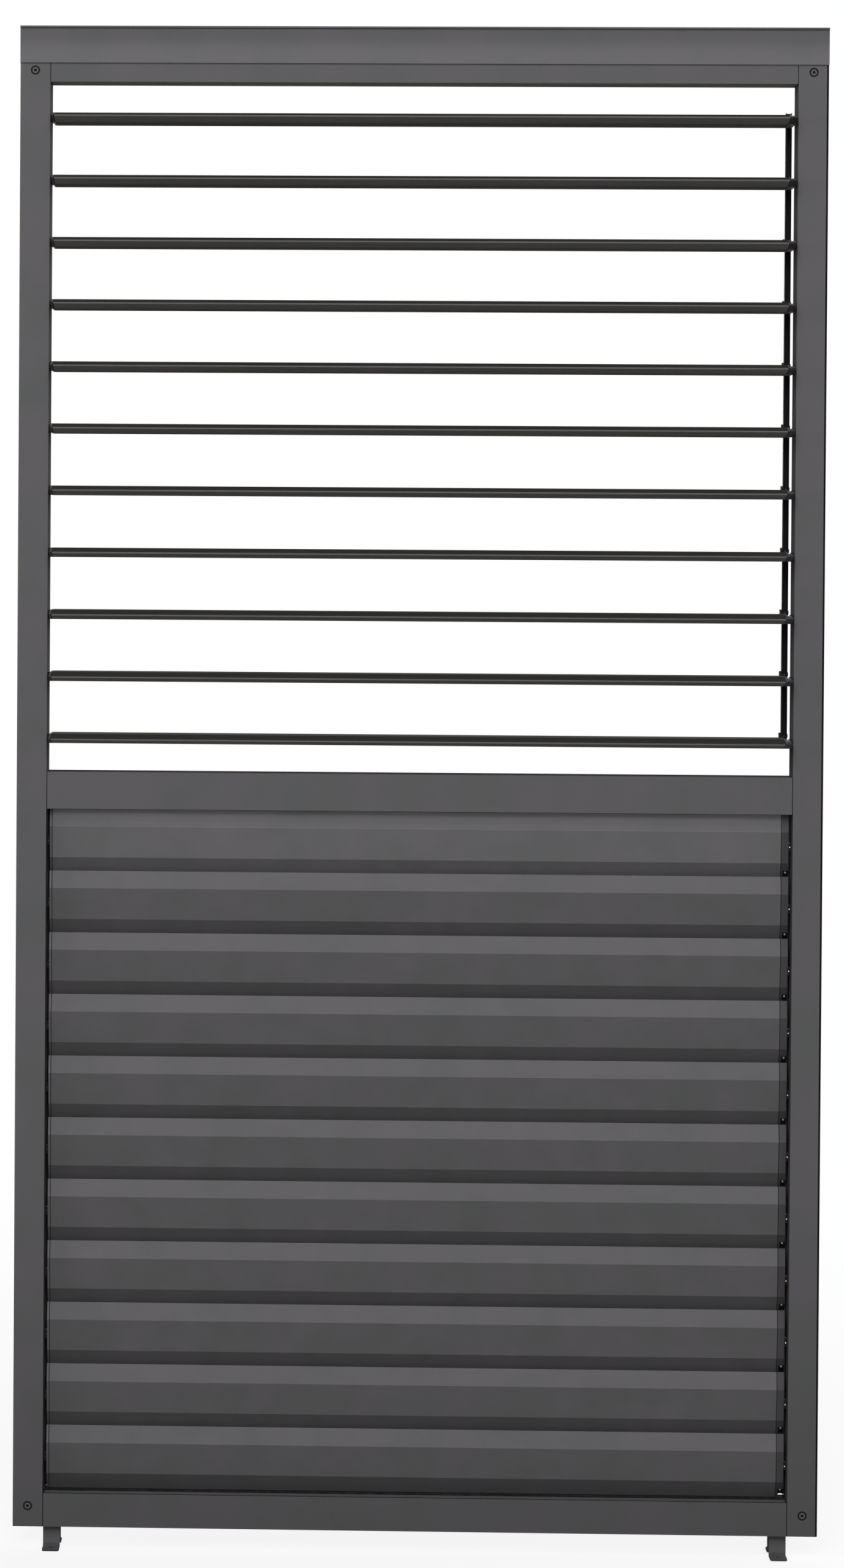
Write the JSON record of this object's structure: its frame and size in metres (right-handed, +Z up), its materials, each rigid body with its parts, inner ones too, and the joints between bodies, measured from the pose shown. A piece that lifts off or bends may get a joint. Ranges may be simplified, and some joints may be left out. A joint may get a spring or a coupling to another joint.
{
  "type": "slatted screen panel",
  "caption": "Tall louvred screen panel: a metal frame on bracket feet with banks of pivoting horizontal blades, each bank linked by a tie bar, under a head channel.",
  "frame": {"origin": "on the floor, midway between the stiles, in the plane of the blade pivots", "axes": "+X to the right seen from the front, +Y to the back, +Z up"},
  "size_m": [1.2, 0.097, 2.2745],
  "materials": {
    "powder_coat": "satin",
    "cap_plastic": "matte",
    "black_nylon": "matte",
    "black_anodised": "satin",
    "coated_screws": "satin",
    "plain_aluminium": "satin",
    "zinc_steel": "satin"
  },
  "bodies": {
    "frame": {"left_stile": "powder_coat", "right_stile": "powder_coat", "head_channel": "powder_coat", "top_rail": "powder_coat", "mid_rail": "powder_coat", "bottom_rail": "powder_coat", "left_pivot_bushes": "black_nylon", "right_pivot_bushes": "black_nylon", "corner_screws": "coated_screws", "corner_keys": "plain_aluminium", "rail_keys": "plain_aluminium", "left_foot": "powder_coat", "right_foot": "powder_coat", "foot_bolts": "zinc_steel"},
    "upper_blade_01": {"upper_blade_01": "powder_coat", "upper_caps_01": "cap_plastic"},
    "upper_blade_02": {"upper_blade_02": "powder_coat", "upper_caps_02": "cap_plastic"},
    "upper_blade_03": {"upper_blade_03": "powder_coat", "upper_caps_03": "cap_plastic"},
    "upper_blade_04": {"upper_blade_04": "powder_coat", "upper_caps_04": "cap_plastic"},
    "upper_blade_05": {"upper_blade_05": "powder_coat", "upper_caps_05": "cap_plastic"},
    "upper_blade_06": {"upper_blade_06": "powder_coat", "upper_caps_06": "cap_plastic"},
    "upper_blade_07": {"upper_blade_07": "powder_coat", "upper_caps_07": "cap_plastic"},
    "upper_blade_08": {"upper_blade_08": "powder_coat", "upper_caps_08": "cap_plastic"},
    "upper_blade_09": {"upper_blade_09": "powder_coat", "upper_caps_09": "cap_plastic"},
    "upper_blade_10": {"upper_blade_10": "powder_coat", "upper_caps_10": "cap_plastic"},
    "upper_blade_11": {"upper_blade_11": "powder_coat", "upper_caps_11": "cap_plastic"},
    "upper_tie_bar": {"upper_tie_bar": "black_anodised"},
    "lower_blade_01": {"lower_blade_01": "powder_coat", "lower_caps_01": "cap_plastic"},
    "lower_blade_02": {"lower_blade_02": "powder_coat", "lower_caps_02": "cap_plastic"},
    "lower_blade_03": {"lower_blade_03": "powder_coat", "lower_caps_03": "cap_plastic"},
    "lower_blade_04": {"lower_blade_04": "powder_coat", "lower_caps_04": "cap_plastic"},
    "lower_blade_05": {"lower_blade_05": "powder_coat", "lower_caps_05": "cap_plastic"},
    "lower_blade_06": {"lower_blade_06": "powder_coat", "lower_caps_06": "cap_plastic"},
    "lower_blade_07": {"lower_blade_07": "powder_coat", "lower_caps_07": "cap_plastic"},
    "lower_blade_08": {"lower_blade_08": "powder_coat", "lower_caps_08": "cap_plastic"},
    "lower_blade_09": {"lower_blade_09": "powder_coat", "lower_caps_09": "cap_plastic"},
    "lower_blade_10": {"lower_blade_10": "powder_coat", "lower_caps_10": "cap_plastic"},
    "lower_blade_11": {"lower_blade_11": "powder_coat", "lower_caps_11": "cap_plastic"},
    "lower_tie_bar": {"lower_tie_bar": "black_anodised"}
  },
  "joints": [
    {"name": "upper_blade_01_turn", "type": "hinge", "parent": "frame", "child": "upper_blade_01", "pos_m": [0, 0, 2.139], "axis": [-1, 0, 0], "range_deg": [0, 87.4]},
    {"name": "upper_blade_02_turn", "type": "hinge", "parent": "frame", "child": "upper_blade_02", "pos_m": [0, 0, 2.0465], "axis": [-1, 0, 0], "range_deg": [0, 87.4]},
    {"name": "upper_blade_03_turn", "type": "hinge", "parent": "frame", "child": "upper_blade_03", "pos_m": [0, 0, 1.954], "axis": [-1, 0, 0], "range_deg": [0, 87.4]},
    {"name": "upper_blade_04_turn", "type": "hinge", "parent": "frame", "child": "upper_blade_04", "pos_m": [0, 0, 1.8615], "axis": [-1, 0, 0], "range_deg": [0, 87.4]},
    {"name": "upper_blade_05_turn", "type": "hinge", "parent": "frame", "child": "upper_blade_05", "pos_m": [0, 0, 1.769], "axis": [-1, 0, 0], "range_deg": [0, 87.4]},
    {"name": "upper_blade_06_turn", "type": "hinge", "parent": "frame", "child": "upper_blade_06", "pos_m": [0, 0, 1.6765], "axis": [-1, 0, 0], "range_deg": [0, 87.4]},
    {"name": "upper_blade_07_turn", "type": "hinge", "parent": "frame", "child": "upper_blade_07", "pos_m": [0, 0, 1.584], "axis": [-1, 0, 0], "range_deg": [0, 87.4]},
    {"name": "upper_blade_08_turn", "type": "hinge", "parent": "frame", "child": "upper_blade_08", "pos_m": [0, 0, 1.4915], "axis": [-1, 0, 0], "range_deg": [0, 87.4]},
    {"name": "upper_blade_09_turn", "type": "hinge", "parent": "frame", "child": "upper_blade_09", "pos_m": [0, 0, 1.399], "axis": [-1, 0, 0], "range_deg": [0, 87.4]},
    {"name": "upper_blade_10_turn", "type": "hinge", "parent": "frame", "child": "upper_blade_10", "pos_m": [0, 0, 1.3065], "axis": [-1, 0, 0], "range_deg": [0, 87.4]},
    {"name": "upper_blade_11_turn", "type": "hinge", "parent": "frame", "child": "upper_blade_11", "pos_m": [0, 0, 1.214], "axis": [-1, 0, 0], "range_deg": [0, 87.4]},
    {"name": "upper_tie_bar_swing", "type": "hinge", "parent": "upper_blade_01", "child": "upper_tie_bar", "pos_m": [0.5485, 0.039, 2.1475], "axis": [-1, 0, 0], "range_deg": [-87.4, 0]},
    {"name": "lower_blade_01_turn", "type": "hinge", "parent": "frame", "child": "lower_blade_01", "pos_m": [0, 0, 1.059], "axis": [-1, 0, 0], "range_deg": [-84, 3.4]},
    {"name": "lower_blade_02_turn", "type": "hinge", "parent": "frame", "child": "lower_blade_02", "pos_m": [0, 0, 0.9665], "axis": [-1, 0, 0], "range_deg": [-84, 3.4]},
    {"name": "lower_blade_03_turn", "type": "hinge", "parent": "frame", "child": "lower_blade_03", "pos_m": [0, 0, 0.874], "axis": [-1, 0, 0], "range_deg": [-84, 3.4]},
    {"name": "lower_blade_04_turn", "type": "hinge", "parent": "frame", "child": "lower_blade_04", "pos_m": [0, 0, 0.7815], "axis": [-1, 0, 0], "range_deg": [-84, 3.4]},
    {"name": "lower_blade_05_turn", "type": "hinge", "parent": "frame", "child": "lower_blade_05", "pos_m": [0, 0, 0.689], "axis": [-1, 0, 0], "range_deg": [-84, 3.4]},
    {"name": "lower_blade_06_turn", "type": "hinge", "parent": "frame", "child": "lower_blade_06", "pos_m": [0, 0, 0.5965], "axis": [-1, 0, 0], "range_deg": [-84, 3.4]},
    {"name": "lower_blade_07_turn", "type": "hinge", "parent": "frame", "child": "lower_blade_07", "pos_m": [0, 0, 0.504], "axis": [-1, 0, 0], "range_deg": [-84, 3.4]},
    {"name": "lower_blade_08_turn", "type": "hinge", "parent": "frame", "child": "lower_blade_08", "pos_m": [0, 0, 0.4115], "axis": [-1, 0, 0], "range_deg": [-84, 3.4]},
    {"name": "lower_blade_09_turn", "type": "hinge", "parent": "frame", "child": "lower_blade_09", "pos_m": [0, 0, 0.319], "axis": [-1, 0, 0], "range_deg": [-84, 3.4]},
    {"name": "lower_blade_10_turn", "type": "hinge", "parent": "frame", "child": "lower_blade_10", "pos_m": [0, 0, 0.2265], "axis": [-1, 0, 0], "range_deg": [-84, 3.4]},
    {"name": "lower_blade_11_turn", "type": "hinge", "parent": "frame", "child": "lower_blade_11", "pos_m": [0, 0, 0.134], "axis": [-1, 0, 0], "range_deg": [-84, 3.4]},
    {"name": "lower_tie_bar_swing", "type": "hinge", "parent": "lower_blade_01", "child": "lower_tie_bar", "pos_m": [0.5485, 0.01253, 1.0211], "axis": [-1, 0, 0], "range_deg": [-3.4, 84]}
  ],
  "couplings": [
    {"joint": "upper_blade_02_turn", "follows": "upper_blade_01_turn", "ratio": 1},
    {"joint": "upper_blade_03_turn", "follows": "upper_blade_01_turn", "ratio": 1},
    {"joint": "upper_blade_04_turn", "follows": "upper_blade_01_turn", "ratio": 1},
    {"joint": "upper_blade_05_turn", "follows": "upper_blade_01_turn", "ratio": 1},
    {"joint": "upper_blade_06_turn", "follows": "upper_blade_01_turn", "ratio": 1},
    {"joint": "upper_blade_07_turn", "follows": "upper_blade_01_turn", "ratio": 1},
    {"joint": "upper_blade_08_turn", "follows": "upper_blade_01_turn", "ratio": 1},
    {"joint": "upper_blade_09_turn", "follows": "upper_blade_01_turn", "ratio": 1},
    {"joint": "upper_blade_10_turn", "follows": "upper_blade_01_turn", "ratio": 1},
    {"joint": "upper_blade_11_turn", "follows": "upper_blade_01_turn", "ratio": 1},
    {"joint": "upper_tie_bar_swing", "follows": "upper_blade_01_turn", "ratio": -1},
    {"joint": "lower_blade_02_turn", "follows": "lower_blade_01_turn", "ratio": 1},
    {"joint": "lower_blade_03_turn", "follows": "lower_blade_01_turn", "ratio": 1},
    {"joint": "lower_blade_04_turn", "follows": "lower_blade_01_turn", "ratio": 1},
    {"joint": "lower_blade_05_turn", "follows": "lower_blade_01_turn", "ratio": 1},
    {"joint": "lower_blade_06_turn", "follows": "lower_blade_01_turn", "ratio": 1},
    {"joint": "lower_blade_07_turn", "follows": "lower_blade_01_turn", "ratio": 1},
    {"joint": "lower_blade_08_turn", "follows": "lower_blade_01_turn", "ratio": 1},
    {"joint": "lower_blade_09_turn", "follows": "lower_blade_01_turn", "ratio": 1},
    {"joint": "lower_blade_10_turn", "follows": "lower_blade_01_turn", "ratio": 1},
    {"joint": "lower_blade_11_turn", "follows": "lower_blade_01_turn", "ratio": 1},
    {"joint": "lower_tie_bar_swing", "follows": "lower_blade_01_turn", "ratio": -1}
  ]
}
